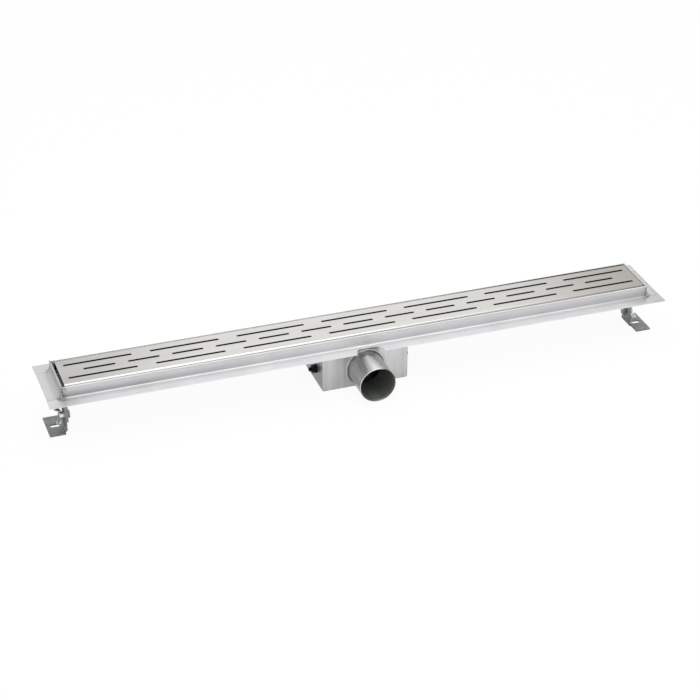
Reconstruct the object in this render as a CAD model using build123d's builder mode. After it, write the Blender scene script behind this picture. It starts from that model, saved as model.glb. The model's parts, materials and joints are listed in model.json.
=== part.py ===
"""Linear shower drain: a folded stainless channel with a slotted grate, trap box, outlet and feet.

Millimetres. X runs along the channel, Y to the back, Z up. The origin is on the floor, under the
middle of the channel, where the trap box stands.
"""
import os
from math import cos, radians, sin

from build123d import *

# Channel
overall_height = 80.0
rim_length = 830.0
rim_width = 73.6
sheet = 1.0
rim_below_grate = 1.0
rim_rise = 15.8
flange_width = 19.6
trough_depth = 20.0
rim_bend_radius = 0.9
flange_bend_radius = 1.5
trough_bend_radius = 2.0
notch_radius = 19.0
drain_hole_margin = 4.8

# End caps
end_bend_radius = 9.0
end_seam_angle = 22.0
end_flange_inset = 0.5

# Grate
grate_sheet = 1.5
grate_side_gap = 2.3
grate_end_gap = 3.0
grate_shift = 1.0
grate_skirt = 12.0
grate_bend_radius = 3.0
slot_width = 3.4
row_spacing = 16.6
long_pitch = 119.0
long_count = 7
long_slot = 94.0
short_slot = 42.0
slot_end_margin = 9.0

# Grate pads
pad_length = 22.0
pad_wall = 1.6
pad_grip = 6.0
pad_count = 4
pad_end_distance = 60.0
pad_clearance = 0.05
pad_corner_radius = 1.0

# Trap box
box_length = 122.0
box_depth = 85.0
box_setback = 3.8
box_wall = 1.2
box_corner_radius = 2.0
box_fold_step = 0.1
cover_sheet = 1.0

# Outlet
outlet_radius = 25.0
outlet_wall = 1.5
outlet_reach = 82.8
outlet_lift = 2.2
weld_width = 1.9
weld_length = 2.0

# Odour trap
collar_clearance = 1.2
collar_thick = 1.5
collar_edge = 0.5
seal_thick = 1.5
seal_clearance = 0.6
funnel_clearance = 1.6
funnel_wall = 1.8
funnel_throat = 0.5
funnel_drop = 14.0
cone_drop = 8.0
dip_radius = 18.0
dip_above_floor = 11.0
cup_clearance = 1.4
cup_gap = 7.0
cup_wall = 1.8
cup_floor = 2.0
cup_foot = 2.0
cup_rib_count = 4
cup_rib_height = 16.0
rib_clearance = 0.4

# Hair strainer
strainer_clearance = 0.6
strainer_wall = 1.0
strainer_depth = 12.0
strainer_lip = 2.0
strainer_corner = 2.0
strainer_hole_radius = 2.4
strainer_ring_count = 2
strainer_ring_holes = 7
strainer_ring_margin = 5.6
knob_radius = 3.0
knob_height = 9.0

# Feet
foot_sheet = 2.0
foot_width = 48.0
foot_length = 25.0
foot_setback = 6.0
foot_lift = 4.0
foot_drop = 16.6
foot_bend_radius = 1.5
leg_width = 24.0
leg_offset = 5.5
leg_slot_clearance = 0.4
leg_above_slot = 9.0
relief_radius = 2.4
relief_gap = 0.3
base_slot_length = 13.5
base_slot_width = 7.0
base_slot_from_edge = 11.5
tab_sheet = 2.0
tab_shelf = 14.0
tab_edge = 6.0

# Fasteners, M6
thread_radius = 3.0
hole_clearance = 0.2
hex_flats = 10.0
bolt_head = 4.0
bolt_drop = 38.0
bolt_length = 11.2
bolt_chamfer = 0.6
washer_radius = 6.4
washer_thick = 1.2
wing_hub_radius = 5.6
wing_hub_taper = 0.8
wing_hub_height = 5.4
wing_span = 26.0
wing_rise = 10.5
wing_height = 5.6
wing_root = 1.0
wing_shoulder = 4.6
wing_throat = 7.4
wing_tip_radius = 2.0
wing_thick = 2.0
wing_turn_left = 52.0
wing_turn_right = 30.0

# Side fixings of the trap box
stud_y = -4.0
stud_height = 21.0
stud_reach = 10.2
nut_thick = 5.0

# Two points closer together than this count as the same
near = 0.01

# Worked out from the sizes above
rim_top = overall_height - rim_below_grate
floor_top = rim_top - trough_depth
floor_under = floor_top - sheet
box_height = floor_under - cover_sheet
outlet_height = outlet_lift + outlet_radius
flange_top = rim_top - rim_rise
flange_under = flange_top - sheet
hem = 2 * sheet
half_rim = rim_width / 2
half_trough = half_rim - hem
half_flange = half_rim + flange_width
half_length = rim_length / 2
half_overall = half_length + flange_width
inner_end = half_length - hem
drain_hole_radius = half_trough - drain_hole_margin
grate_width = 2 * (half_trough - grate_side_gap)
half_grate = inner_end - grate_end_gap
skirt_bottom = overall_height - grate_skirt
box_front = box_setback - half_rim
box_middle = box_front + box_depth / 2
outlet_bore = outlet_radius - outlet_wall
seal_top = floor_top + seal_thick
collar_top = seal_top + collar_thick
collar_radius = half_trough - collar_clearance
funnel_radius = drain_hole_radius - funnel_clearance
funnel_bore = funnel_radius - funnel_wall
funnel_bottom = seal_top - funnel_drop
cone_bottom = funnel_bottom - cone_drop
dip_bottom = box_wall + dip_above_floor
dip_bore = dip_radius - funnel_wall
cup_radius = drain_hole_radius - cup_clearance
cup_bore = cup_radius - cup_wall
cup_top = funnel_bottom - cup_gap
bolt_height = floor_under - bolt_drop
hole_radius = thread_radius + hole_clearance

os.makedirs("parts", exist_ok=True)
pieces = []


def keep(builder, name):
    """Label a finished piece and put it on the list to write."""
    builder.part.label = name
    pieces.append(builder.part)


def corners(level, axis=Axis.Z, among=None):
    """Corners at a level on an axis: those given, or all of the sketch being drawn."""
    found = vertices() if among is None else among
    return found.filter_by_position(axis, level - near, level + near)


def end_plane(x, side):
    """Plane across X at one end, with its normal outwards and its own Y upwards."""
    return Plane(origin=(side * x, 0, 0), x_dir=(0, side, 0), z_dir=(side, 0, 0))


# Channel body: one sheet with both long flanges, the hemmed rim, the trough walls and the floor
with BuildPart() as channel_body:
    with BuildSketch(Plane.YZ):
        with BuildLine():
            Polyline(
                (-half_flange, flange_under),
                (-half_flange, flange_top),
                (-half_rim, flange_top),
                (-half_rim, rim_top),
                (-half_trough, rim_top),
                (-half_trough, floor_top),
                (half_trough, floor_top),
                (half_trough, rim_top),
                (half_rim, rim_top),
                (half_rim, flange_top),
                (half_flange, flange_top),
                (half_flange, flange_under),
                (half_rim - sheet, flange_under),
                (half_rim - sheet, floor_under),
                (sheet - half_rim, floor_under),
                (sheet - half_rim, flange_under),
                close=True,
            )
        make_face()
        fillet(corners(rim_top), rim_bend_radius)
        at_flange = corners(flange_top)
        bends = corners(-half_rim, Axis.Y, at_flange) + corners(half_rim, Axis.Y, at_flange)
        fillet(bends, flange_bend_radius)
        fillet(corners(floor_top), trough_bend_radius)
        fillet(corners(floor_under), trough_bend_radius + sheet)
    extrude(amount=inner_end, both=True)
    # The long flanges run on past the trough to the outer ends
    with BuildSketch(Plane.XY.offset(flange_under)):
        for side in (-1, 1):
            with Locations((0, side * (half_rim + flange_width / 2))):
                Rectangle(2 * half_overall, flange_width)
    extrude(amount=sheet)
    # Round notch in the front flange, above the outlet
    with BuildSketch(Plane.XY.offset(flange_under)):
        with Locations((0, -half_flange)):
            Circle(notch_radius)
    extrude(amount=sheet, mode=Mode.SUBTRACT)
    with Locations((0, 0, floor_top)):
        Hole(drain_hole_radius, depth=sheet)
keep(channel_body, "channel_body")

# End caps: the end wall with its hem, and a wide bend out to the end flange between the long flanges.
# The outer sheet leaves the inner one where the bend starts, with an open seam below
for name, side in (("left", -1), ("right", 1)):

    def on_bend(radius, angle):
        """Point at a radius and an angle round the middle of the wide bend."""
        x = half_length + end_bend_radius - radius * cos(radians(angle))
        return (side * x, flange_top + end_bend_radius - radius * sin(radians(angle)))

    outer_edge = side * (half_overall - end_flange_inset)
    inner_sheet = side * (inner_end + sheet)
    under_bend = end_bend_radius + sheet
    seam_top = on_bend(under_bend, end_seam_angle)
    with BuildPart() as end_cap:
        with BuildSketch(Plane.XZ.offset(-half_rim)):
            with BuildLine():
                Polyline(
                    on_bend(under_bend, 90),
                    (outer_edge, flange_under),
                    (outer_edge, flange_top),
                    on_bend(end_bend_radius, 90),
                )
                ThreePointArc(
                    on_bend(end_bend_radius, 90),
                    on_bend(end_bend_radius, 45),
                    on_bend(end_bend_radius, 0),
                )
                Polyline(
                    on_bend(end_bend_radius, 0),
                    (side * half_length, rim_top),
                    (side * inner_end, rim_top),
                    (side * inner_end, floor_under),
                    (inner_sheet, floor_under),
                    (inner_sheet, seam_top[1]),
                    seam_top,
                )
                ThreePointArc(
                    seam_top,
                    on_bend(under_bend, (90 + end_seam_angle) / 2),
                    on_bend(under_bend, 90),
                )
            make_face()
            fillet(corners(rim_top), rim_bend_radius)
        extrude(amount=rim_width)
    keep(end_cap, f"end_cap_{name}")


def slot_row(y, length, count, pitch):
    """Row of slots along the grate, the outermost ones cut short at the end margin."""
    limit = half_grate - slot_end_margin
    for index in range(count):
        middle = (index - (count - 1) / 2) * pitch
        start = max(middle - length / 2, -limit)
        stop = min(middle + length / 2, limit)
        with Locations((grate_shift + (start + stop) / 2, y)):
            SlotOverall(stop - start, slot_width)


# Grate: one plate with its long edges folded down and three rows of slots. It lies loose in the
# channel, a little to the right of the middle
with BuildPart() as grate:
    with BuildSketch(Plane.YZ.offset(grate_shift)):
        with BuildLine():
            FilletPolyline(
                (-grate_width / 2, skirt_bottom),
                (-grate_width / 2, overall_height),
                (grate_width / 2, overall_height),
                (grate_width / 2, skirt_bottom),
                radius=grate_bend_radius,
            )
            offset(amount=grate_sheet, side=Side.RIGHT)
        make_face()
    extrude(amount=half_grate, both=True)
    with BuildSketch(Plane.XY.offset(overall_height)):
        slot_row(-row_spacing, long_slot, long_count, long_pitch)
        slot_row(0, short_slot, 2 * long_count - 1, long_pitch / 2)
        slot_row(row_spacing, long_slot, long_count, long_pitch)
    extrude(amount=-grate_sheet, mode=Mode.SUBTRACT)
keep(grate, "grate")

# Rubber pads that grip the lower edge of each skirt and stand on the trough floor
skirt_y = (grate_width - grate_sheet) / 2
pad_top = skirt_bottom + pad_grip
pad_step = (half_grate - pad_end_distance) * 2 / (pad_count - 1)
for index in range(2 * pad_count):
    side = -1 if index < pad_count else 1
    pad_x = grate_shift + (index % pad_count - (pad_count - 1) / 2) * pad_step
    with BuildPart() as pad:
        with BuildSketch(Plane.XY.offset(floor_top)):
            with Locations((pad_x, side * skirt_y)):
                RectangleRounded(pad_length, grate_sheet + 2 * pad_wall, pad_corner_radius)
        extrude(amount=pad_top - floor_top)
        with BuildSketch(Plane.XY.offset(skirt_bottom)):
            with Locations((pad_x, side * skirt_y)):
                Rectangle(pad_length, grate_sheet + 2 * pad_clearance)
        extrude(amount=pad_grip, mode=Mode.SUBTRACT)
    keep(pad, f"grate_pad_{index + 1}")

# Trap box: folded, open at the top, with the outlet opening in its front wall
with BuildPart() as trap_box:
    with BuildSketch():
        with Locations((0, box_middle)):
            RectangleRounded(box_length, box_depth, box_corner_radius)
    extrude(amount=box_height)
    fillet(trap_box.faces().sort_by(Axis.Z)[0].edges(), box_corner_radius - box_fold_step)
    offset(amount=-box_wall, openings=trap_box.faces().sort_by(Axis.Z)[-1])
    with BuildSketch(Plane.XZ.offset(-box_front)):
        with Locations((0, outlet_height)):
            Circle(outlet_bore)
    extrude(amount=-box_wall, mode=Mode.SUBTRACT)
keep(trap_box, "trap_box")

# Top plate of the box, welded under the trough floor
with BuildPart() as box_cover:
    with BuildSketch(Plane.XY.offset(box_height)):
        with Locations((0, box_middle)):
            RectangleRounded(box_length, box_depth, box_corner_radius)
        Circle(drain_hole_radius, mode=Mode.SUBTRACT)
    extrude(amount=cover_sheet)
keep(box_cover, "box_cover")

# Outlet spigot with the weld ring at the box wall
with BuildPart() as outlet_pipe:
    with BuildSketch(Plane.XY.offset(outlet_height)):
        with BuildLine():
            Polyline(
                (outlet_bore, box_front),
                (outlet_radius + weld_width, box_front),
                (outlet_radius, box_front - weld_length),
                (outlet_radius, -outlet_reach),
                (outlet_bore, -outlet_reach),
                close=True,
            )
        make_face()
    revolve(axis=Axis((0, 0, outlet_height), (0, 1, 0)))
keep(outlet_pipe, "outlet_pipe")

# Rubber ring under the funnel's collar
with BuildPart() as insert_seal:
    with BuildSketch(Plane.XY.offset(floor_top)):
        Circle(collar_radius)
        Circle(funnel_radius + seal_clearance, mode=Mode.SUBTRACT)
    extrude(amount=seal_thick)
keep(insert_seal, "insert_seal")

# Trap insert: a collar on the seal, a funnel through the drain hole, and the dip tube
with BuildPart() as trap_insert:
    with BuildSketch(Plane.XZ):
        with BuildLine():
            Polyline(
                (funnel_bore, collar_top),
                (collar_radius - collar_edge, collar_top),
                (collar_radius, collar_top - collar_edge),
                (collar_radius, seal_top),
                (funnel_radius, seal_top),
                (funnel_radius, funnel_bottom),
                (dip_radius, cone_bottom),
                (dip_radius, dip_bottom),
                (dip_bore, dip_bottom),
                (dip_bore, cone_bottom + funnel_throat),
                (funnel_bore, funnel_bottom + funnel_throat),
                close=True,
            )
        make_face()
    revolve(axis=Axis.Z)
keep(trap_insert, "trap_insert")

# Water cup with a foot ring and ribs that centre the dip tube
cup_base = box_wall + cup_foot
rib_inner = dip_radius + rib_clearance
with BuildPart() as trap_cup:
    with BuildSketch(Plane.XZ):
        with BuildLine():
            Polyline(
                (0, cup_base),
                (cup_bore - cup_wall, cup_base),
                (cup_bore - cup_wall, box_wall),
                (cup_bore + cup_wall / 2, box_wall),
                (cup_radius, cup_base + cup_floor),
                (cup_radius, cup_top),
                (cup_bore, cup_top),
                (cup_bore, cup_base + cup_floor),
                (0, cup_base + cup_floor),
                close=True,
            )
        make_face()
    revolve(axis=Axis.Z)
    rib_reach = cup_bore + cup_wall / 2 - rib_inner
    with BuildSketch(Plane.XY.offset(cup_base + cup_floor)):
        with PolarLocations(rib_inner + rib_reach / 2, cup_rib_count):
            Rectangle(rib_reach, cup_wall)
    extrude(amount=cup_rib_height)
keep(trap_cup, "trap_cup")

# Hair strainer: a perforated basket with a lip on the collar and a lifting knob
basket_radius = funnel_bore - strainer_clearance
basket_bore = basket_radius - strainer_wall
basket_bottom = collar_top - strainer_depth
basket_floor = basket_bottom + strainer_wall
lip_top = collar_top + strainer_wall
ring_step = (basket_radius - strainer_corner - strainer_ring_margin) / strainer_ring_count
with BuildPart() as hair_strainer:
    with BuildSketch(Plane.XZ):
        with BuildLine():
            Polyline(
                (0, basket_bottom),
                (basket_radius - strainer_corner, basket_bottom),
                (basket_radius, basket_bottom + strainer_corner),
                (basket_radius, collar_top),
                (basket_radius + strainer_lip, collar_top),
                (basket_radius + strainer_lip, lip_top),
                (basket_bore, lip_top),
                (basket_bore, basket_bottom + strainer_corner),
                (basket_bore - strainer_corner, basket_floor),
                (knob_radius, basket_floor),
                (knob_radius, basket_bottom + knob_height),
                (0, basket_bottom + knob_height),
                close=True,
            )
        make_face()
    revolve(axis=Axis.Z)
    with BuildSketch(Plane.XY.offset(basket_bottom)):
        for ring in range(1, strainer_ring_count + 1):
            with PolarLocations(ring * ring_step, ring * strainer_ring_holes):
                Circle(strainer_hole_radius)
    extrude(amount=strainer_wall, mode=Mode.SUBTRACT)
keep(hair_strainer, "hair_strainer")

# Places that both ends share. Both feet are the same part, turned half round, so its leg stands off
# to the front at the left end and off to the back at the right end
leg_inner = inner_end - foot_setback
leg_outer = leg_inner + foot_sheet
foot_end = leg_inner + foot_length
base_start = leg_outer + foot_bend_radius
relief_height = foot_sheet + foot_bend_radius + relief_gap + relief_radius
leg_slot_width = 2 * (thread_radius + leg_slot_clearance)
leg_slot_height = foot_lift + foot_drop + leg_slot_width
leg_slot_middle = bolt_height + (foot_drop - foot_lift) / 2
leg_top = leg_slot_middle + leg_slot_height / 2 + leg_above_slot
tab_inner = leg_inner - tab_sheet
nut_seat = leg_outer + washer_thick

for name, side in (("left", -1), ("right", 1)):
    leg_y = side * leg_offset
    leg_back = Plane.XZ.offset(-leg_y - leg_width / 2)

    # Plate welded under the trough, with a shelf inwards and a bolt hole
    with BuildPart() as foot_tab:
        with BuildSketch(leg_back):
            with BuildLine():
                FilletPolyline(
                    (side * leg_inner, bolt_height - tab_edge),
                    (side * leg_inner, floor_under),
                    (side * (leg_inner - tab_shelf), floor_under),
                    radius=foot_bend_radius + tab_sheet,
                )
                offset(amount=tab_sheet, side=Side.LEFT if side > 0 else Side.RIGHT)
            make_face()
        extrude(amount=leg_width)
        with BuildSketch(end_plane(tab_inner, side)):
            with Locations((leg_offset, bolt_height)):
                Circle(hole_radius)
        extrude(amount=tab_sheet, mode=Mode.SUBTRACT)
    keep(foot_tab, f"foot_tab_{name}")

    # Angled foot: narrow slotted leg, bend with a relief notch at each edge, wider slotted base
    with BuildPart() as foot:
        with BuildSketch(leg_back):
            with BuildLine():
                FilletPolyline(
                    (side * leg_inner, leg_top),
                    (side * leg_inner, 0),
                    (side * foot_end, 0),
                    radius=foot_bend_radius + foot_sheet,
                )
                offset(amount=foot_sheet, side=Side.LEFT if side > 0 else Side.RIGHT)
            make_face()
        extrude(amount=leg_width)
        with BuildSketch():
            with Locations((side * (base_start + foot_end) / 2, 0)):
                Rectangle(foot_end - base_start, foot_width)
        extrude(amount=foot_sheet)
        with BuildSketch(end_plane(leg_inner, side)):
            for edge in (leg_offset - leg_width / 2, leg_offset + leg_width / 2):
                with Locations((edge, relief_height)):
                    Circle(relief_radius)
            with Locations((leg_offset, leg_slot_middle)):
                SlotOverall(leg_slot_height, leg_slot_width, rotation=90)
        extrude(amount=foot_sheet, mode=Mode.SUBTRACT)
        with BuildSketch():
            with Locations((side * (foot_end - base_slot_from_edge), 0)):
                SlotOverall(base_slot_length, base_slot_width)
        extrude(amount=foot_sheet, mode=Mode.SUBTRACT)
    keep(foot, f"foot_{name}")

    # Hexagon bolt, head on the inner side of the tab
    with BuildPart() as foot_bolt:
        with BuildSketch(end_plane(tab_inner - bolt_head, side)):
            with Locations((leg_offset, bolt_height)):
                RegularPolygon(hex_flats / 2, 6, major_radius=False, rotation=30)
        extrude(amount=bolt_head)
        with BuildSketch(end_plane(tab_inner, side)):
            with Locations((leg_offset, bolt_height)):
                Circle(thread_radius)
        extrude(amount=bolt_length)
        tip = foot_bolt.faces().sort_by(Axis.X)[-1 if side > 0 else 0]
        chamfer(tip.edges(), bolt_chamfer)
    keep(foot_bolt, f"foot_bolt_{name}")

    with BuildPart() as foot_washer:
        with BuildSketch(end_plane(leg_outer, side)):
            with Locations((leg_offset, bolt_height)):
                Circle(washer_radius)
                Circle(hole_radius, mode=Mode.SUBTRACT)
        extrude(amount=washer_thick)
    keep(foot_washer, f"foot_washer_{name}")

    # Wing nut: a tapered hub with two rounded wings that lean outwards
    turn = wing_turn_left if side < 0 else wing_turn_right
    wing_plane = Plane(
        origin=(side * nut_seat, leg_y, bolt_height),
        x_dir=(0, sin(radians(turn)), cos(radians(turn))),
        z_dir=(side, 0, 0),
    )
    wing_side = Plane(origin=wing_plane.origin, x_dir=wing_plane.x_dir, z_dir=-wing_plane.y_dir)
    wing_line = Axis(wing_plane.origin, wing_plane.x_dir)
    with BuildPart() as wing_nut:
        with BuildSketch(wing_side.offset(-wing_thick / 2)):
            for wing in (-1, 1):
                with BuildLine():
                    Polyline(
                        (wing * thread_radius, wing_root),
                        (wing * wing_hub_radius, wing_root),
                        (wing * wing_span / 2, wing_rise - wing_height),
                        (wing * wing_span / 2, wing_rise),
                        (wing * wing_throat, wing_rise),
                        (wing * (wing_hub_radius - wing_hub_taper), wing_shoulder),
                        (wing * thread_radius, wing_shoulder),
                        close=True,
                    )
                make_face()
            tips = vertices().group_by(wing_line)
            fillet(tips[0] + tips[-1], wing_tip_radius)
        extrude(amount=wing_thick)
        with BuildSketch(wing_plane):
            Circle(wing_hub_radius)
        with BuildSketch(wing_plane.offset(wing_hub_height)):
            Circle(wing_hub_radius - wing_hub_taper)
        loft()
        with BuildSketch(wing_plane):
            Circle(thread_radius)
        extrude(amount=wing_hub_height, mode=Mode.SUBTRACT)
    keep(wing_nut, f"wing_nut_{name}")

    # Side fixing of the trap box: weld stud, washer and nut
    stud_plane = end_plane(box_length / 2, side)
    stud_local_y = side * stud_y
    with BuildPart() as side_stud:
        with BuildSketch(stud_plane):
            with Locations((stud_local_y, stud_height)):
                Circle(thread_radius)
        extrude(amount=stud_reach)
        tip = side_stud.faces().sort_by(Axis.X)[-1 if side > 0 else 0]
        chamfer(tip.edges(), bolt_chamfer)
    keep(side_stud, f"side_stud_{name}")

    with BuildPart() as side_washer:
        with BuildSketch(stud_plane):
            with Locations((stud_local_y, stud_height)):
                Circle(washer_radius)
                Circle(hole_radius, mode=Mode.SUBTRACT)
        extrude(amount=washer_thick)
    keep(side_washer, f"side_washer_{name}")

    with BuildPart() as side_nut:
        with BuildSketch(stud_plane.offset(washer_thick)):
            with Locations((stud_local_y, stud_height)):
                RegularPolygon(hex_flats / 2, 6, major_radius=False, rotation=30)
                Circle(thread_radius, mode=Mode.SUBTRACT)
        extrude(amount=nut_thick)
    keep(side_nut, f"side_nut_{name}")

for piece in pieces:
    export_step(piece, f"parts/{piece.label}.step")
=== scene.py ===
"""Looks of the linear shower drain: brushed and rolled steel, welds, threads and a plain studio."""
import json
from math import atan2, cos, floor, pi, radians, sin

import bmesh
import bpy
from mathutils import Matrix, Vector


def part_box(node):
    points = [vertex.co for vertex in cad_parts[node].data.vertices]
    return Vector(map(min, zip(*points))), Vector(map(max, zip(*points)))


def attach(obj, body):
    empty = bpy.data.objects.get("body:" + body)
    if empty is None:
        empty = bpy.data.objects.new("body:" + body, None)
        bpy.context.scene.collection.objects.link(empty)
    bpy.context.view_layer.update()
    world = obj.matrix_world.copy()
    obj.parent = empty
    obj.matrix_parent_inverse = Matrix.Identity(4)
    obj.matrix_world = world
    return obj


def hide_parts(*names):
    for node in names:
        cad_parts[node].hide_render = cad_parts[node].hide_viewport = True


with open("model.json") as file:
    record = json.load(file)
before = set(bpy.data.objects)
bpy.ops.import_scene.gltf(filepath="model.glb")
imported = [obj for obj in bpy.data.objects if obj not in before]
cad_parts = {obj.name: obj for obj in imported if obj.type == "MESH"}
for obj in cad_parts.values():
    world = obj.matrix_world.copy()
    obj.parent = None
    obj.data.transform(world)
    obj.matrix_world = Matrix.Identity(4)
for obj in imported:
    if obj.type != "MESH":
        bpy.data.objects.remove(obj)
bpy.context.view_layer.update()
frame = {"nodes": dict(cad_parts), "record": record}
nodes = frame["nodes"]
mm = 0.001


# Shader formulas

class Signal:
    """A shader socket that takes part in sums, so that a pattern is written as a formula."""

    def __init__(self, wiring, socket):
        self.wiring = wiring
        self.socket = socket

    def combine(self, operation, first, second=0.0):
        """One step of arithmetic on signals or numbers."""
        return self.wiring.node("ShaderNodeMath", {"operation": operation}, {0: first, 1: second})

    def __add__(self, other):
        return self.combine("ADD", self, other)

    __radd__ = __add__

    def __sub__(self, other):
        return self.combine("SUBTRACT", self, other)

    def __rsub__(self, other):
        return self.combine("SUBTRACT", other, self)

    def __mul__(self, other):
        return self.combine("MULTIPLY", self, other)

    __rmul__ = __mul__

    def __pow__(self, other):
        return self.combine("POWER", self, other)

    def __abs__(self):
        return self.combine("ABSOLUTE", self)

    def between(self, low, high):
        """0 below low, 1 above high, smooth between. With low above high it falls instead."""
        limits = {"Value": self, "From Min": low, "From Max": high}
        return self.wiring.node("ShaderNodeMapRange", {"interpolation_type": "SMOOTHSTEP"}, limits)

    def at_least(self, other):
        """The larger of this and another value."""
        return self.combine("MAXIMUM", self, other)

    def to_nearest(self, pitch):
        """Distance from the nearest multiple of the pitch."""
        return self.combine("PINGPONG", self, pitch / 2)

    def angle(self, across):
        """Angle of a place that is so far across and has this height."""
        return self.combine("ARCTAN2", self, across)


class Wiring:
    """The nodes of a material or of the surroundings."""

    def __init__(self, owner):
        owner.use_nodes = True
        self.tree = owner.node_tree
        self.tree.nodes.clear()

    def node(self, kind, settings=None, sockets=None, out=0):
        """Add a node, set it up, then give its sockets their values or links."""
        made = self.tree.nodes.new(kind)
        for key, value in (settings or {}).items():
            setattr(made, key, value)
        for key, value in (sockets or {}).items():
            if isinstance(value, Signal):
                self.tree.links.new(value.socket, made.inputs[key])
            else:
                made.inputs[key].default_value = value
        return Signal(self, made.outputs[out]) if made.outputs else None

    def rays(self):
        """1 on rays from the camera, on mirrored rays and on rays that passed through glass."""
        kinds = ("Is Camera Ray", "Is Glossy Ray", "Is Transmission Ray")
        return [self.node("ShaderNodeLightPath", out=kind) for kind in kinds]


class Finish(Wiring):
    """A material being made, with the piece's own coordinates in metres."""

    def __init__(self, name):
        self.material = bpy.data.materials.new(name)
        super().__init__(self.material)
        self.place = self.node("ShaderNodeTexCoord", out="Object")
        parts = [self.node("ShaderNodeSeparateXYZ", {}, {0: self.place}, out=axis) for axis in "XYZ"]
        self.x, self.y, self.z = parts

    def noise(self, scale, detail=3.0, roughness=0.5):
        """Noise from 0 to 1, with its number of features per metre along each axis."""
        scaled = self.node("ShaderNodeVectorMath", {"operation": "MULTIPLY"}, {0: self.place, 1: scale})
        values = {"Vector": scaled, "Scale": 1.0, "Detail": detail, "Roughness": roughness}
        return self.node("ShaderNodeTexNoise", {"normalize": True}, values)

    def mix(self, first, second, factor):
        """Colour between two colours."""
        colours = {0: factor, 6: opaque(first), 7: opaque(second)}
        return self.node("ShaderNodeMix", {"data_type": "RGBA"}, colours, out=2)

    def shade(self, colour, level):
        """Colour times a number that varies over the surface."""
        scaled = {0: colour, "Scale": level}
        return self.node("ShaderNodeVectorMath", {"operation": "SCALE"}, scaled)

    def bump(self, height, distance, strength):
        """Normal of a fine relief, with its depth in metres."""
        values = {"Height": height, "Distance": distance, "Strength": strength}
        return self.node("ShaderNodeBump", {}, values)

    def surface(self, colour, roughness, normal, metallic=1.0):
        """Finish the material with its shader."""
        values = {"Base Color": colour, "Roughness": roughness, "Metallic": metallic, "Normal": normal}
        shader = self.node("ShaderNodeBsdfPrincipled", {}, values)
        self.node("ShaderNodeOutputMaterial", {}, {"Surface": shader})
        return self.material


def opaque(colour):
    """A written colour as four numbers; a signal stays as it is."""
    return colour if isinstance(colour, Signal) else (*colour, 1.0)


def grey(level):
    """Neutral colour of one level."""
    return (level, level, level)


# Places that the finishes and the added pieces share

signs = {"left": -1, "right": 1}
rim_sides = {"front": -1, "back": 1}
rim_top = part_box("channel_body")[1].z
half_rim = 36.8 * mm
half_length = 415.0 * mm
flange_top = 63.2 * mm
grate_middle = 1.0 * mm
grate_top = 80.0 * mm
slot_radius = 1.7 * mm
# Rows of slots: place beside the middle line, pitch, length of a slot, and the row's reach
outer_row = (16.6 * mm, 119.0 * mm, 94.0 * mm, 401.0 * mm)
middle_row = (0.0, 59.5 * mm, 42.0 * mm, 378.0 * mm)
box_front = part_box("trap_box")[0].y
box_side = 61.0 * mm
pipe_low, pipe_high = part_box("outlet_pipe")
pipe_axis = (pipe_low.z + pipe_high.z) / 2
pipe_radius = 25.0 * mm
pipe_wall = 1.5 * mm
thread_radius = 3.0 * mm
across_flats = 10.0 * mm
leg_offset = 5.5 * mm
bolt_height = 20.0 * mm
bolt_seat = 401.0 * mm
wing_nut_seat = 410.2 * mm
stud_y = -4.0 * mm
stud_height = 21.0 * mm
side_nut_seat = 62.2 * mm


# Finishes

def slot_shade_rim(f, row, pitch, length, reach):
    """Painted shade round one row of laser-cut slots: 1 in the slots and along their outlines."""
    middle = f.x - grate_middle
    beyond = (middle.to_nearest(pitch) - (length / 2 - slot_radius)).at_least(0.0)
    across = abs(f.y) - row
    distance = (beyond * beyond + across * across) ** 0.5
    rim = distance.between(slot_radius + 0.6 * mm, slot_radius + 0.25 * mm)
    return rim * abs(middle).between(reach + 0.6 * mm, reach + 0.3 * mm)


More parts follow.
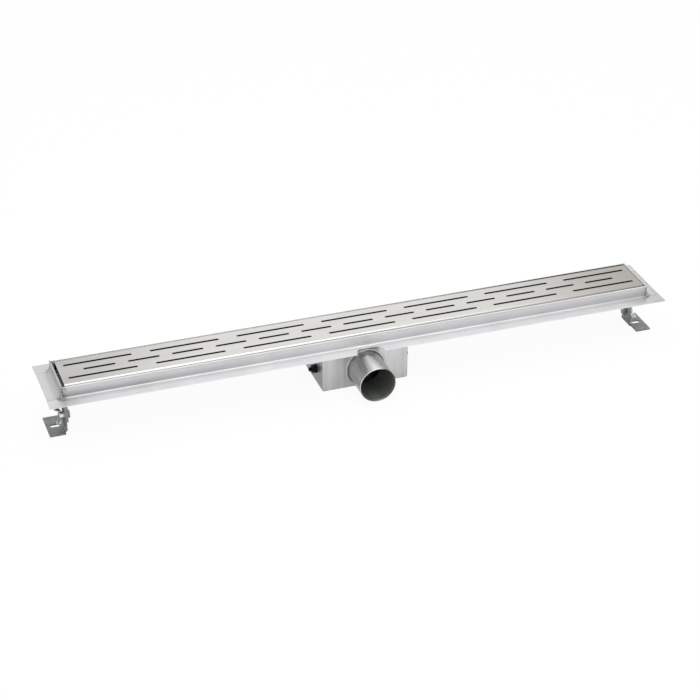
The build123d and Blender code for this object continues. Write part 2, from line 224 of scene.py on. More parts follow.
def brushed_grate():
    """Cover plate: ground lengthwise, warm grey, with painted shade that makes it warmer and darker towards
    the right and darker at the left end.
    The front bend is painted lighter at the left end and darker from the middle on, the left end edge has a
    painted highlight, and the back bend is painted darker, more so to the right. The cut walls of the slots,
    a narrow rim round each slot and the hidden inner side are painted near black as shade and made rougher."""
    f = Finish("brushed_grate")
    hairs = f.noise((9.0, 2600.0, 2600.0), 2.0)
    bands = f.noise((2.2, 330.0, 330.0), 3.0, 0.6)
    clouds = f.noise((9.0, 40.0, 40.0), 3.0, 0.6)
    # Painted shade: the colour turns darker and warmer towards the right, and the level below drops at the
    # left end, standing in for the lamp's light falling off.
    right = f.x.between(0.16, 0.46)
    tone = f.mix((0.735, 0.727, 0.705), (0.43, 0.40, 0.373), right)
    left = f.x.between(-0.20, -0.44)
    front = f.y.between(-30.5 * mm, -31.5 * mm)
    back = f.y.between(28.2 * mm, 30.2 * mm)
    end = f.x.between(-407.9 * mm, -408.6 * mm)
    level = 0.86 + 0.14 * hairs + 0.14 * (bands - 0.5) + 0.16 * (clouds - 0.5) - 0.26 * left
    # Painted highlight and shade: the front bend is lighter at the left end and darker from the middle on,
    # the left end edge gets a painted highlight, and the back bend is painted darker, more so to the right.
    level = level + front * (0.16 * left - 0.30 * f.x.between(-0.30, 0.10)) + 0.20 * end
    level = level - back * (0.22 + 0.26 * f.x.between(-0.05, 0.15))
    edges = slot_shade_rim(f, *outer_row) + slot_shade_rim(f, *middle_row)
    side = abs(f.y)
    depth = grate_top - f.z
    # Painted shade: the slots' cut walls, the hidden inner side and the rims round the slots are mixed to
    # near black, and made rougher.
    cut = side.between(25.0 * mm, 24.0 * mm) * depth.between(0.03 * mm, 0.1 * mm)
    inner = side.between(31.4 * mm, 31.1 * mm) * depth.between(0.8 * mm, 1.1 * mm)
    dull = (cut + inner + 0.75 * edges).between(0.0, 1.0)
    colour = f.mix(f.shade(tone, level), (0.035, 0.033, 0.031), dull)
    roughness = 0.27 + 0.12 * bands + 0.05 * hairs + 0.30 * dull
    return f.surface(colour, roughness, f.bump(hairs + 0.5 * bands, 0.03 * mm, 0.5))


def spatter(f):
    """Weld soot and spatter round the four upright corners, heaviest at the left end."""
    along = abs(f.x) - 414.5 * mm
    across = abs(f.y) - half_rim
    near = (along * along + across * across) ** 0.5
    spots = f.noise((620.0, 620.0, 620.0), 2.0, 0.5).between(0.50, 0.60)
    heavy = 0.25 + 0.75 * f.x.between(0.1, -0.1)
    return near.between(9.0 * mm, 4.0 * mm) * (0.10 + 0.90 * spots) * heavy


def rolled_channel():
    """Channel: mill finish with fine rolling lines. The front flange is matt and painted paler, as if lit
    from above, less so near the ends; the rim's wall gets painted shade towards its bend, more at the left;
    the bends and the hem top get painted highlights, brightest along the back except towards the right end;
    the trough walls just under the rim are painted dark as shade in the gaps, with a pale matt strip painted
    in near the top over all but the right part and a lighter matt patch lower at the left end to lighten the
    gaps; and there is weld soot round the corners."""
    f = Finish("rolled_channel")
    lines = f.noise((7.0, 900.0, 900.0), 2.0)
    clouds = f.noise((30.0, 34.0, 34.0), 3.0, 0.55)
    pits = f.noise((800.0, 800.0, 800.0), 2.0).between(0.68, 0.80)
    side = abs(f.y)
    along = abs(f.x).between(0.436, 0.36)
    left = f.x.between(-0.08, -0.42)
    far_right_shade = f.x.between(0.22, 0.41)
    front = f.y.between(0.0, -1.0 * mm)
    back_left_highlight = f.y.between(0.0, 1.0 * mm) * f.x.between(0.38, 0.16)
    flat = f.z.between(64.4 * mm, 63.6 * mm)
    flange = flat * front * (0.25 + 0.75 * along)
    outer = flat * side.between(45.0 * mm, 54.0 * mm)
    # Painted shade on the rim's wall towards its bend, stronger at the left end.
    low = f.z.between(75.5 * mm, 65.0 * mm) * f.z.between(64.2 * mm, 65.0 * mm)
    low = low * side.between(36.6 * mm, 36.75 * mm)
    # Painted highlight along the bend between wall and flange.
    bend = side.between(38.9 * mm, 37.9 * mm) * side.between(36.3 * mm, 36.6 * mm)
    bend = bend * f.z.between(65.0 * mm, 64.3 * mm)
    hem = f.z.between(78.0 * mm, 78.5 * mm)
    # Painted light: the front flange is painted paler, as if lit from above, fading near the ends.
    tone = f.mix((0.655, 0.655, 0.66), (0.85, 0.85, 0.87), flange)
    tone = f.mix(tone, grey(1.0), bend * (0.5 + 0.5 * along))
    # Painted highlight: the hem top is painted lighter, and near white along the back except towards the
    # right end.
    tone = f.mix(tone, grey(0.84), hem)
    tone = f.mix(tone, grey(1.0), hem * back_left_highlight)
    # Painted shade and light in the gaps beside the grate: the trough walls just under the rim are painted
    # dark, with a pale matt strip painted in near the top over all but the right part and a lighter matt
    # patch lower down at the left end, so that the gaps read lit.
    trough = side.between(34.95 * mm, 34.85 * mm) * f.z.between(58.4 * mm, 58.6 * mm)
    pale = trough * f.z.between(74.5 * mm, 76.0 * mm) * f.x.between(0.30, 0.10)
    painted_gap_light = trough * f.x.between(-0.385, -0.395) * f.z.between(76.0 * mm, 74.5 * mm)
    tone = f.mix(tone, (0.20, 0.195, 0.19), trough * f.z.between(77.0 * mm, 75.0 * mm))
    tone = f.mix(tone, (0.98, 0.97, 0.95), pale)
    tone = f.mix(tone, (0.55, 0.54, 0.52), painted_gap_light)
    matt = pale + painted_gap_light
    top_edge = front * f.z.between(76.5 * mm, 77.5 * mm) * f.z.between(78.6 * mm, 78.3 * mm)
    tip = front * side.between(56.15 * mm, 56.3 * mm)
    level = 0.91 + 0.10 * lines + 0.14 * (clouds - 0.5) - 0.10 * pits - low * (0.17 + 0.24 * left)
    # Painted shade: the front's right corner, the front bend and flange towards the right end, and the outer
    # half of the front flange are painted darker.
    level = level - 0.08 * top_edge + 0.10 * tip - 0.14 * front * f.x.between(0.406, 0.420)
    level = level - front * (0.03 + 0.02 * left + 0.07 * far_right_shade) * (bend + flange) - 0.04 * front * outer
    level = level + 0.03 * hem * back_left_highlight - 0.60 * spatter(f)
    roughness = 0.31 + 0.26 * flange + 0.10 * (clouds - 0.5) + 0.06 * lines - 0.08 * bend + 0.25 * matt
    relief = f.bump(lines - 0.5 * pits, 0.03 * mm, 0.45)
    return f.surface(f.shade(tone, level), roughness, relief, 1.0 - 0.85 * matt)


def end_sheet():
    """End piece: like the channel, with the grain across, with painted shade in its wide bend, on the left
    end's hem top and along the right end's outer edge, and specks of weld spatter near its seams.
    The inner face just under the rim is painted dark as shade in the gap, with a pale matt strip painted in
    above it to lighten the gap."""
    f = Finish("end_sheet")
    lines = f.noise((900.0, 7.0, 900.0), 2.0)
    clouds = f.noise((60.0, 60.0, 60.0), 3.0, 0.6)
    near_seam = abs(f.y).between(24.0 * mm, 36.5 * mm)
    specks = f.noise((520.0, 520.0, 520.0), 3.0, 0.7).between(0.52, 0.66) * near_seam
    reach = abs(f.x)
    bend = reach.between(426.0 * mm, 420.0 * mm) * f.z.between(78.6 * mm, 76.0 * mm)
    hem = f.z.between(78.0 * mm, 78.5 * mm) * f.x.between(0.0, -1.0 * mm)
    inside = reach.between(413.3 * mm, 413.1 * mm)
    pale = inside * f.z.between(74.5 * mm, 76.0 * mm)
    # Painted shade in the wide bend and on the left hem top; painted shade and a pale matt strip on the
    # inner face in the gap.
    tone = f.mix(grey(0.655), grey(0.53), bend)
    tone = f.mix(tone, grey(0.52), hem)
    tone = f.mix(tone, (0.30, 0.29, 0.28), inside * f.z.between(77.0 * mm, 75.0 * mm))
    tone = f.mix(tone, (0.66, 0.63, 0.59), pale)
    level = 0.90 + 0.08 * lines + 0.16 * (clouds - 0.5) - 0.22 * specks - 0.60 * spatter(f)
    # Painted shade along the right end's outer edge.
    level = level - 0.10 * f.x.between(0.41, 0.42) * reach.between(427.0 * mm, 429.0 * mm)
    roughness = 0.36 + 0.10 * clouds + 0.12 * specks
    relief = f.bump(0.4 * lines + specks, 0.08 * mm, 0.6)
    return f.surface(f.shade(tone, level), roughness, relief, 1.0 - 0.85 * pale)


def box_sheet():
    """Trap box: vertical rolling streaks, a slightly darker ring round the outlet's weld, side walls painted
    darker as shade, painted shade along its right-hand corner and bottom edge, and a painted shadow patch
    over the outlet.
    The inside is painted pale and made matt, as painted light in the view into it."""
    f = Finish("box_sheet")
    streaks = f.noise((170.0, 170.0, 4.0), 4.0, 0.65)
    lines = f.noise((520.0, 520.0, 9.0), 3.0, 0.6)
    clouds = f.noise((40.0, 40.0, 22.0), 3.0)
    height = f.z - pipe_axis
    around = (f.x * f.x + height * height) ** 0.5
    front = f.y.between(-31.0 * mm, -32.5 * mm)
    # A slightly darker ring round the outlet's weld.
    halo = around.between(32.0 * mm, 28.0 * mm) * front
    # Painted shade on the side walls.
    side_wall_shade = abs(f.x).between(60.6 * mm, 60.9 * mm)
    # Painted shade along the right-hand corner and side and along the bottom edge, where a rounded edge
    # would shade.
    rounded = f.x.between(58.6 * mm, 60.2 * mm) + f.z.between(2.4 * mm, 1.2 * mm)
    shaded = f.z.between(46.0 * mm, 56.0 * mm) * abs(f.x - 3.0 * mm).between(20.0 * mm, 12.0 * mm) * front
    # Painted light: the box's inside is painted pale and made matt so that the view into it reads lit.
    inner = abs(f.x).between(60.0 * mm, 59.9 * mm) * f.y.between(-32.0 * mm, -31.9 * mm)
    tone = f.mix(grey(0.65), (0.55, 0.55, 0.545), halo)
    tone = f.mix(tone, grey(0.46), side_wall_shade)
    tone = f.mix(tone, grey(0.24), shaded)
    tone = f.mix(tone, (0.72, 0.72, 0.68), inner)
    level = 0.60 + 0.46 * streaks + 0.16 * lines + 0.24 * (clouds - 0.5) + 0.05 * f.x.between(-0.05, 0.05)
    level = level - 0.24 * rounded * (1.0 - inner)
    relief = f.bump(lines, 0.03 * mm, 0.45)
    return f.surface(f.shade(tone, level), 0.27 + 0.16 * lines, relief, 1.0 - 0.8 * inner)


def drawn_tube():
    """Outlet: drawn lengthwise, with a painted highlight along its crown and on the lip's upper left,
    painted shade on its upper flanks and on the lip's right, darker round its root, and in the bore a
    painted darker olive shade with a paler bluish-green glint painted low down near the mouth, and duller."""
    f = Finish("drawn_tube")
    height = f.z - pipe_axis
    turn = height.angle(f.x)
    spot = f.node("ShaderNodeCombineXYZ", {}, {0: turn * 40.0, 1: f.y * 8.0, 2: 0.0})
    lines = f.node("ShaderNodeTexNoise", {"normalize": True}, {"Vector": spot, "Scale": 1.0, "Detail": 3.0})
    radius = (f.x * f.x + height * height) ** 0.5
    bore = radius.between(24.4 * mm, 24.2 * mm)
    # Painted highlight along the crown, stronger towards the mouth.
    crown = abs(f.x - 0.5 * mm).between(10.5 * mm, 3.0 * mm) * height.between(20.0 * mm, 22.0 * mm)
    outward = f.y.between(-40.0 * mm, -74.0 * mm)
    # Painted shade on the upper flanks.
    shaded_flanks = abs(f.x).between(9.0 * mm, 15.0 * mm) * height.between(-2.0 * mm, 4.0 * mm)
    # Darker round the root.
    root = f.y.between(-36.5 * mm, -34.6 * mm)
    lip = f.y.between(-81.6 * mm, -82.4 * mm)
    # Painted highlight on the lip's upper left.
    lip_highlight = lip * f.x.between(2.0 * mm, -4.0 * mm) * height.between(-12.0 * mm, 0.0)
    # Painted reflection: a paler bluish-green glint low in the bore near the mouth.
    low = height.between(-14.0 * mm, -23.0 * mm) * abs(f.x).between(9.0 * mm, 3.0 * mm) * outward
    tone = f.mix(grey(0.56), grey(0.47), shaded_flanks)
    tone = f.mix(tone, (0.92, 0.92, 0.91), crown * (0.60 + 0.40 * outward))
    tone = f.mix(tone, (0.24, 0.24, 0.238), root)
    tone = f.mix(tone, (0.95, 0.95, 0.94), lip_highlight)
    # Painted shade on the lip's right.
    tone = f.mix(tone, grey(0.06), lip * f.x.between(5.0 * mm, 13.0 * mm))
    # Painted shade and reflection: the bore is painted a darker olive tone.
    tone = f.mix(tone, f.mix((0.27, 0.275, 0.25), (0.33, 0.38, 0.37), low), bore)
    level = 0.84 + 0.22 * lines
    roughness = 0.24 + 0.10 * lines + 0.14 * bore
    relief = f.bump(lines, 0.03 * mm, 0.4)
    return f.surface(f.shade(tone, level), roughness, relief, 1.0 - 0.45 * bore)


def raw_strip():
    """Feet and tabs: dull raw strip, faintly green, with scuffs, drawing lines and dark flecks."""
    f = Finish("raw_strip")
    lines = f.noise((260.0, 700.0, 24.0), 3.0, 0.6)
    scuffs = f.noise((110.0, 110.0, 110.0), 5.0, 0.7)
    flecks = f.noise((420.0, 420.0, 420.0), 3.0, 0.6).between(0.52, 0.66)
    level = 0.76 + 0.50 * (lines - 0.5) + 1.10 * (scuffs - 0.5) - 0.20 * flecks
    roughness = 0.30 + 0.30 * scuffs
    relief = f.bump(scuffs + 0.4 * flecks, 0.15 * mm, 0.6)
    return f.surface(f.shade((0.34, 0.355, 0.35), level), roughness, relief)


def pressed_basket():
    """Hair strainer: pressed sheet with a fine drawn texture."""
    f = Finish("pressed_basket")
    grains = f.noise((500.0, 500.0, 120.0), 3.0)
    colour = f.shade((0.60, 0.60, 0.59), 0.82 + 0.3 * grains)
    return f.surface(colour, 0.30 + 0.1 * grains, f.bump(grains, 0.03 * mm, 0.4))


def moulded(name, colour, rough, grain):
    """Moulded plastic or rubber with a fine mould texture."""
    f = Finish(name)
    texture = f.noise((grain, grain, grain), 2.0)
    clouds = f.noise((40.0, 40.0, 40.0), 2.0)
    relief = f.bump(texture, 0.05 * mm, 0.5)
    return f.surface(f.shade(colour, 0.85 + 0.3 * clouds), rough + 0.1 * texture, relief, 0.0)


def grained(name, grain, tones, spread, rough, relief, detail=3.0, coarse=0.6, metallic=1.0):
    """Metal of two tones. Its grains per metre, its tones, the noise levels where the tone changes over,
    its roughness and what the grains add to it, and the depth and strength of the relief."""
    f = Finish(name)
    grains = f.noise((grain, grain, grain), detail, coarse)
    tone = f.mix(*tones, grains.between(*spread))
    least, added = rough
    return f.surface(tone, least + added * grains, f.bump(grains, *relief), metallic)


# Fasteners: zinc plated, bluish and bright, duller in the hollows
plated = grained(
    "plated", 260.0, ((0.38, 0.43, 0.435), (0.80, 0.83, 0.82)), (0.38, 0.60), (0.14, 0.16), (0.04 * mm, 0.4),
)
# Foot bolts: zinc gone dull and grey
bolt_finish = grained(
    "dull_zinc", 300.0, ((0.22, 0.235, 0.23), (0.46, 0.48, 0.47)), (0.36, 0.64), (0.34, 0.16),
    (0.04 * mm, 0.4),
)
# Side fixings of the trap box: black oxide with a little wear
blackened = grained(
    "blackened", 900.0, ((0.012, 0.012, 0.013), grey(0.09)), (0.62, 0.80), (0.42, 0.15), (0.04 * mm, 0.5),
    metallic=0.8,
)
# Bead round the outlet: bright ripples with grey, scaly edges
weld_finish = grained(
    "weld_metal", 700.0, (grey(0.92), (0.60, 0.595, 0.59)), (0.46, 0.70), (0.28, 0.25), (0.06 * mm, 0.6),
)
# Closed welds at the end pieces: ground flush, a shade darker than the sheet
seam_finish = grained(
    "seam_metal", 500.0, (grey(0.46), (0.17, 0.168, 0.165)), (0.36, 0.60), (0.36, 0.25), (0.06 * mm, 0.6),
    detail=4.0, coarse=0.7,
)
# Weld that fills the open corners of the end pieces: pale and rough, with dark specks
corner_finish = grained(
    "filled_corner", 520.0, (grey(0.62), (0.26, 0.257, 0.25)), (0.46, 0.62), (0.40, 0.20), (0.15 * mm, 0.7),
)
end_finish = end_sheet()
finishes = {
    "grate_steel": brushed_grate(),
    "channel_steel": rolled_channel(),
    "box_steel": box_sheet(),
    "pipe_steel": drawn_tube(),
    "bracket_steel": raw_strip(),
    "zinc": plated,
    "blackened_steel": blackened,
    "strainer_steel": pressed_basket(),
    "trap_plastic": moulded("trap_plastic", (0.035, 0.035, 0.038), 0.38, 700.0),
    "rubber_black": moulded("rubber_black", grey(0.015), 0.60, 900.0),
}

for part in frame["record"]["subparts"]:
    mesh = nodes[part["node"]].data
    mesh.materials.clear()
    mesh.materials.append(finishes[part["material_slot"]])
for side in signs:
    nodes[f"end_cap_{side}"].data.materials[0] = end_finish


# Added pieces

def settle(made, name, material, body="drain", replaced=()):
    """Turn a finished bmesh into a piece that rides on a body, rounded except at its sharp edges."""
    sharp = radians(36.0)
    bmesh.ops.recalc_face_normals(made, faces=made.faces)
    for edge in made.edges:
        edge.smooth = edge.calc_face_angle(0.0) < sharp
    mesh = bpy.data.meshes.new(name)
    made.to_mesh(mesh)
    made.free()
    for face in mesh.polygons:
        face.use_smooth = True
    mesh.materials.append(material)
    piece = bpy.data.objects.new(name, mesh)
    bpy.context.scene.collection.objects.link(piece)
    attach(piece, body)
    if replaced:
        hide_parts(*replaced)


def join(made, other):
    """Add another bmesh to this one."""
    mesh = bpy.data.meshes.new("joined")
    other.to_mesh(mesh)
    other.free()
    made.from_mesh(mesh)
    bpy.data.meshes.remove(mesh)


def thicken_outline(made, points, step):
    """Plate from a closed outline, made thick by one step."""
    face = made.faces.new([made.verts.new(point) for point in points])
    grown = bmesh.ops.extrude_face_region(made, geom=[face])
    moved = [item for item in grown["geom"] if isinstance(item, bmesh.types.BMVert)]
    bmesh.ops.translate(made, verts=moved, vec=step)


def lathe(made, profile, closed=True, steps=48):
    """Spin a profile of radius and height round the local Z axis."""
    points = [made.verts.new((radius, 0.0, height)) for radius, height in profile]
    ends = list(zip(points, points[1:]))
    if closed:
        ends.append((points[-1], points[0]))
    edges = [made.edges.new(pair) for pair in ends]
    bmesh.ops.spin(made, geom=points + edges, cent=(0, 0, 0), axis=(0, 0, 1), dvec=(0, 0, 0),
                   angle=2 * pi, steps=steps, use_merge=True, use_duplicate=False)
    bmesh.ops.remove_doubles(made, verts=made.verts, dist=0.001 * mm)


def hexagon(height, bore=0.0):
    """Nut or bolt head on the local Z axis, its corners chamfered on both faces. It is turned round
    first, and then its side is pulled out to the six corners."""
    made = bmesh.new()
    face = 0.96 * across_flats / 2
    wide = 1.1 * across_flats / 2
    profile = [(bore, 0.0), (face, 0.0), (wide, 0.1 * height)]
    profile += [(wide, 0.9 * height), (face, height), (bore, height)]
    lathe(made, profile, closed=bore > 0.0, steps=72)
    for vertex in made.verts:
        flat = Vector((vertex.co.x, vertex.co.y, 0.0))
        if flat.length > face * 1.01:
            turn = atan2(flat.y, flat.x)
            corner = turn - pi / 3 * floor(turn / (pi / 3) + 0.5)
            radius = across_flats / 2 / cos(corner)
            chamfer = (radius - face) * 0.5
            level = chamfer if vertex.co.z < height / 2 else height - chamfer
            vertex.co = Vector((cos(turn) * radius, sin(turn) * radius, level))
    return made


def add_thread(made, low, high):
    """Screw thread from low to high on the local Z axis, chamfered at its upper end."""
    rod = bmesh.new()
    radius = thread_radius
    pitch = 1.0 * mm
    tip = 0.5 * mm
    root = radius - 0.61 * pitch
    turns = int((high - low) / pitch) + 3
    start = low - pitch
    steps_per_turn = 24
    profile = ((root, 0.0), (radius, 0.38), (radius, 0.5), (root, 0.88), (root, 1.0))
    points = [rod.verts.new((r, 0.0, start + share * pitch)) for r, share in profile]
    edges = [rod.edges.new(pair) for pair in zip(points, points[1:])]
    bmesh.ops.spin(rod, geom=points + edges, cent=(0, 0, 0), axis=(0, 0, 1),
                   dvec=(0, 0, pitch / steps_per_turn), angle=2 * pi * turns,
                   steps=steps_per_turn * turns, use_merge=False, use_duplicate=False)
    bmesh.ops.remove_doubles(rod, verts=rod.verts, dist=0.01 * mm)
    for level, facing in ((low, -1), (high, 1)):
        cut = bmesh.ops.bisect_plane(rod, geom=rod.verts[:] + rod.edges[:] + rod.faces[:], dist=0.0001 * mm,
                                     plane_co=(0, 0, level), plane_no=(0, 0, facing), clear_outer=True)
        rim = [item for item in cut["geom_cut"] if isinstance(item, bmesh.types.BMEdge)]
        bmesh.ops.holes_fill(rod, edges=rim, sides=0)
    for vertex in rod.verts:
        flat = Vector((vertex.co.x, vertex.co.y, 0.0))
        limit = radius - tip + (high - vertex.co.z)
        if flat.length > limit:
            vertex.co.x *= limit / flat.length
            vertex.co.y *= limit / flat.length
    join(made, rod)


def outward(side, x, y, z):
    """Place whose own Z axis points outwards along the channel at one end."""
    sign = signs[side]
    turn = Matrix.Rotation(sign * pi / 2, 4, "Y")
    return Matrix.Translation((sign * x, y, z)) @ turn


def put(made, place):
    """Move all of a bmesh to its place."""
    bmesh.ops.transform(made, verts=made.verts, matrix=place)


def ripple(distance, pitch):
    """Size of a weld bead along its length: one low scallop for each drop of metal, a little uneven."""
    depth = 0.2
    count = distance / pitch
    phase = count - floor(count)
    uneven = 0.5 * sin(1.7 * floor(count)) + 0.5 * sin(0.61 * floor(count) + 1.0)
    return 1.0 + depth * (4.0 * phase * (1.0 - phase) - 0.5 + 0.4 * uneven)


def spigot():
    """Outlet pipe with a deburred lip, and the ground fillet at the box wall."""
    made = bmesh.new()
    inner = pipe_radius - pipe_wall
    end = -pipe_low.y
    root = -box_front
    fillet = [(1.9, 0.0), (1.2, 0.5), (0.4, 1.2), (0.0, 2.0), (0.0, 3.0)]
    lip = [(0.0, 0.7), (0.0, 0.25), (-0.07, 0.07), (-0.25, 0.0), (-0.45, 0.0)]
    profile = [(inner, root)]
    profile += [(pipe_radius + out * mm, root + ahead * mm) for out, ahead in fillet]
    profile += [(pipe_radius + out * mm, end - back * mm) for out, back in lip]
    profile += [(inner + 0.05 * mm, end - 2.1 * mm), (inner, end - 2.3 * mm), (inner, end - 3.0 * mm)]
    lathe(made, profile, steps=160)
    put(made, Matrix.Translation((0.0, 0.0, pipe_axis)) @ Matrix.Rotation(pi / 2, 4, "X"))
    settle(made, "outlet_spigot", finishes["pipe_steel"], replaced=["outlet_pipe"])


def pipe_weld():
    """Bead round the outlet where it meets the box."""
    made = bmesh.new()
    bead_radius = 0.6 * mm
    drop_pitch = 1.7 * mm
    lowest = 0.8 * mm
    ring = pipe_radius + 2.3 * mm
    centre = Vector((0.0, box_front - 0.1 * mm, pipe_axis))
    start = Matrix.Translation(centre + Vector((ring, 0.0, 0.0)))
    profile = bmesh.ops.create_circle(made, segments=12, radius=bead_radius, matrix=start)
    bmesh.ops.spin(made, geom=profile["verts"] + made.edges[:], cent=centre, axis=(0, 1, 0), dvec=(0, 0, 0),
                   angle=2 * pi, steps=240, use_merge=True, use_duplicate=False)
    for vertex in made.verts:
        arm = vertex.co - centre
        turn = atan2(arm.z, arm.x)
        core = centre + Vector((cos(turn), 0.0, sin(turn))) * ring
        vertex.co = core + (vertex.co - core) * ripple((turn + pi) * pipe_radius, drop_pitch)
        # The bead is pressed up where it would pass below the box
        vertex.co.z += max(0.0, lowest - core.z)
    settle(made, "outlet_weld", weld_finish)


def wing_nut(side, turn):
    """Cast wing nut: tapered hub with a bore and two rounded wings that lean outwards. The
    lower wing is turned to the front by so many degrees from straight down."""
    made = bmesh.new()
    hub = ((3.0, 0.3), (3.4, 0.0), (5.2, 0.0), (5.6, 0.4), (4.9, 4.9), (4.4, 5.4), (3.4, 5.4), (3.0, 5.0))
    lathe(made, [(radius * mm, height * mm) for radius, height in hub])
    outline = ((3.6, 0.8), (5.6, 0.9), (12.2, 4.4), (13.0, 6.2), (12.7, 9.6), (11.6, 10.5), (8.6, 10.5),
               (7.2, 9.3), (5.4, 5.2), (3.6, 4.6))
    wing_thick = 2.0 * mm
    rounding = 0.55 * mm
    for flip in (1, -1):
        wing = bmesh.new()
        points = [(flip * x * mm, -wing_thick / 2, z * mm) for x, z in outline]
        thicken_outline(wing, points, (0.0, wing_thick, 0.0))
        bmesh.ops.recalc_face_normals(wing, faces=wing.faces)
        bmesh.ops.bevel(wing, geom=wing.edges[:], offset=rounding, affect="EDGES", segments=3, profile=0.5,
                        material=-1)
        join(made, wing)
    sign = signs[side]
    # The wings stand along the hub's X axis
    along = Vector((0.0, sin(radians(turn)), cos(radians(turn))))
    axis = Vector((float(sign), 0.0, 0.0))
    across = axis.cross(along)
    basis = Matrix((along, across, axis)).transposed().to_4x4()
    put(made, Matrix.Translation((sign * wing_nut_seat, sign * leg_offset, bolt_height)) @ basis)
    settle(made, f"wing_nut_cast_{side}", finishes["zinc"], replaced=[f"wing_nut_{side}"])


def foot_bolt(side):
    """Hexagon bolt through the tab and the leg, threaded up to its end."""
    head = 4.0 * mm
    made = hexagon(head)
    add_thread(made, head - 0.1 * mm, head + 11.2 * mm)
    put(made, outward(side, bolt_seat, signs[side] * leg_offset, bolt_height))
    settle(made, f"foot_bolt_turned_{side}", bolt_finish, replaced=[f"foot_bolt_{side}"])


def side_fixing(side):
    """Weld stud with its nut on one side wall of the box."""
    stud_length = 10.2 * mm
    nut_height = 5.0 * mm
    rod = bmesh.new()
    add_thread(rod, 0.0, stud_length)
    put(rod, outward(side, box_side, stud_y, stud_height))
    settle(rod, f"side_stud_threaded_{side}", blackened, replaced=[f"side_stud_{side}"])
    nut = hexagon(nut_height, bore=thread_radius)
    put(nut, outward(side, side_nut_seat, stud_y, stud_height))
    settle(nut, f"side_nut_chamfered_{side}", blackened, replaced=[f"side_nut_{side}"])


def corner_fill(side, edge):
    """Weld fill of the open corner under the end's wide bend."""
    made = bmesh.new()
    inner_face = 35.2 * mm
    thickness = 1.4 * mm
    outline = ((413.8, 62.4), (419.4, 62.4), (418.4, 63.4), (416.6, 65.0), (415.1, 67.0), (413.9, 69.0))
    back = rim_sides[edge]
    points = [(signs[side] * x * mm, back * inner_face, z * mm) for x, z in outline]
    thicken_outline(made, points, (0.0, back * thickness, 0.0))
    settle(made, f"corner_fill_{side}_{edge}", corner_finish)


def seam_bead(name, start, end, width, height):
    """Straight weld bead from start to end: an uneven rod, wider than it is high."""
    made = bmesh.new()
    drop_pitch = 1.6 * mm
    along = end - start
    length = along.length
    bmesh.ops.create_cone(made, cap_ends=True, segments=10, radius1=1.0, radius2=1.0, depth=length)
    long_edges = [edge for edge in made.edges if abs(edge.verts[0].co.z - edge.verts[1].co.z) > length / 2]
    bmesh.ops.subdivide_edges(made, edges=long_edges, cuts=int(length / (drop_pitch / 5)))
    for vertex in made.verts:
        size = ripple(vertex.co.z + length, drop_pitch)
        taper = min(1.0, (length / 2 - abs(vertex.co.z)) / width + 0.45)
        vertex.co.x *= width / 2 * size * taper
        vertex.co.y *= height * size * taper
    turn = along.to_track_quat("Z", "Y").to_matrix().to_4x4()
    put(made, Matrix.Translation((start + end) / 2) @ turn)
    settle(made, name, seam_finish)


spigot()
pipe_weld()
for side, turn in (("left", 52.0), ("right", 30.0)):
    wing_nut(side, turn)
    foot_bolt(side)
    side_fixing(side)
    for edge in rim_sides:
        corner_fill(side, edge)
for side, sign in signs.items():
    for edge, back in rim_sides.items():
        y = back * half_rim
        level = flange_top - 0.05 * mm
        start = Vector((sign * (half_length + 5.0 * mm), y, level))
        end = Vector((sign * (half_length + 18.6 * mm), y, level))
        seam_bead(f"flange_seam_{side}_{edge}", start, end, 1.1 * mm, 0.2 * mm)
        corner = sign * (half_length - 1.8 * mm)
        start = Vector((corner, y, flange_top + 1.0 * mm))
        end = Vector((corner, y, rim_top - 0.9 * mm))
        seam_bead(f"corner_seam_{side}_{edge}", start, end, 1.6 * mm, 0.3 * mm)


# Studio

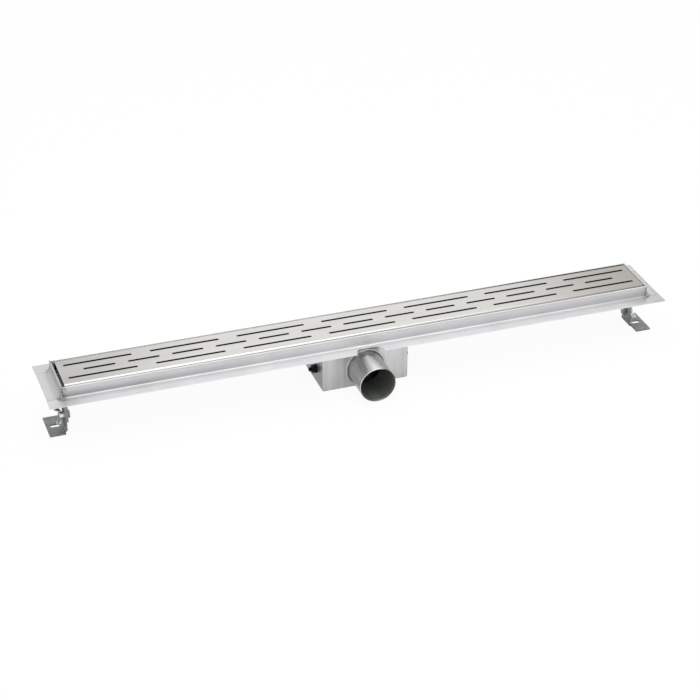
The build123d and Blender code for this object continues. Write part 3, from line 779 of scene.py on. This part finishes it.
def studio_floor():
    """Pale floor that keeps the shadow and reads as white."""
    made = bmesh.new()
    bmesh.ops.create_grid(made, x_segments=1, y_segments=1, size=4.0)
    mesh = bpy.data.meshes.new("studio_floor")
    made.to_mesh(mesh)
    made.free()
    piece = bpy.data.objects.new("studio_floor", mesh)
    bpy.context.scene.collection.objects.link(piece)
    material = bpy.data.materials.new("pale_floor")
    f = Wiring(material)
    seen, mirrored, through = f.rays()
    share = 0.93 * seen + 0.35 * mirrored + 0.93 * through
    paper = f.node("ShaderNodeBsdfDiffuse", {}, {"Color": opaque(grey(0.93))})
    glow = f.node("ShaderNodeEmission", {}, {"Color": opaque(grey(1.0)), "Strength": 1.0})
    shader = f.node("ShaderNodeMixShader", {}, {0: share, 1: paper, 2: glow})
    f.node("ShaderNodeOutputMaterial", {}, {"Surface": shader})
    mesh.materials.append(material)


def studio_world():
    """White surroundings for the camera and for reflections, a soft even light for the rest."""
    world = bpy.data.worlds.new("studio_world")
    bpy.context.scene.world = world
    w = Wiring(world)
    seen, mirrored, through = w.rays()
    shown = seen.at_least(mirrored).at_least(through)
    soft = w.node("ShaderNodeBackground", {}, {"Color": opaque(grey(1.0)), "Strength": 0.85})
    white = w.node("ShaderNodeBackground", {}, {"Color": opaque(grey(1.0)), "Strength": 1.0})
    shader = w.node("ShaderNodeMixShader", {}, {0: shown, 1: soft, 2: white})
    w.node("ShaderNodeOutputWorld", {}, {"Surface": shader})


def soft_lamp(name, place, target, width, height, power):
    """Oblong soft box aimed at a point."""
    lamp = bpy.data.lights.new(name, "AREA")
    lamp.shape = "RECTANGLE"
    lamp.size = width
    lamp.size_y = height
    lamp.energy = power
    holder = bpy.data.objects.new(name, lamp)
    bpy.context.scene.collection.objects.link(holder)
    aim = (Vector(target) - Vector(place)).to_track_quat("-Z", "Y").to_matrix().to_4x4()
    holder.matrix_world = Matrix.Translation(place) @ aim


def photo_camera():
    """Camera at the photograph's place: in front, to the left and above."""
    place = Vector((-0.80567, -2.28513, 1.44903))
    ahead = Vector((0.283846, 0.815846, -0.503813))
    across = Vector((0.944408, -0.328776, -0.000326))
    upright = across.cross(ahead)
    lens = bpy.data.cameras.new("photo_camera")
    lens.sensor_width = 36.0
    lens.lens = 105.98
    lens.clip_end = 50.0
    camera = bpy.data.objects.new("photo_camera", lens)
    bpy.context.scene.collection.objects.link(camera)
    turn = Matrix((across, upright, -ahead)).transposed().to_4x4()
    camera.matrix_world = Matrix.Translation(place) @ turn
    bpy.context.scene.camera = camera


studio_floor()
studio_world()
soft_lamp("top_box", (0.12, -0.25, 1.75), (0.12, -0.2, 0.05), width=1.2, height=2.4, power=13.0)
photo_camera()
bpy.context.scene.view_settings.view_transform = "Standard"
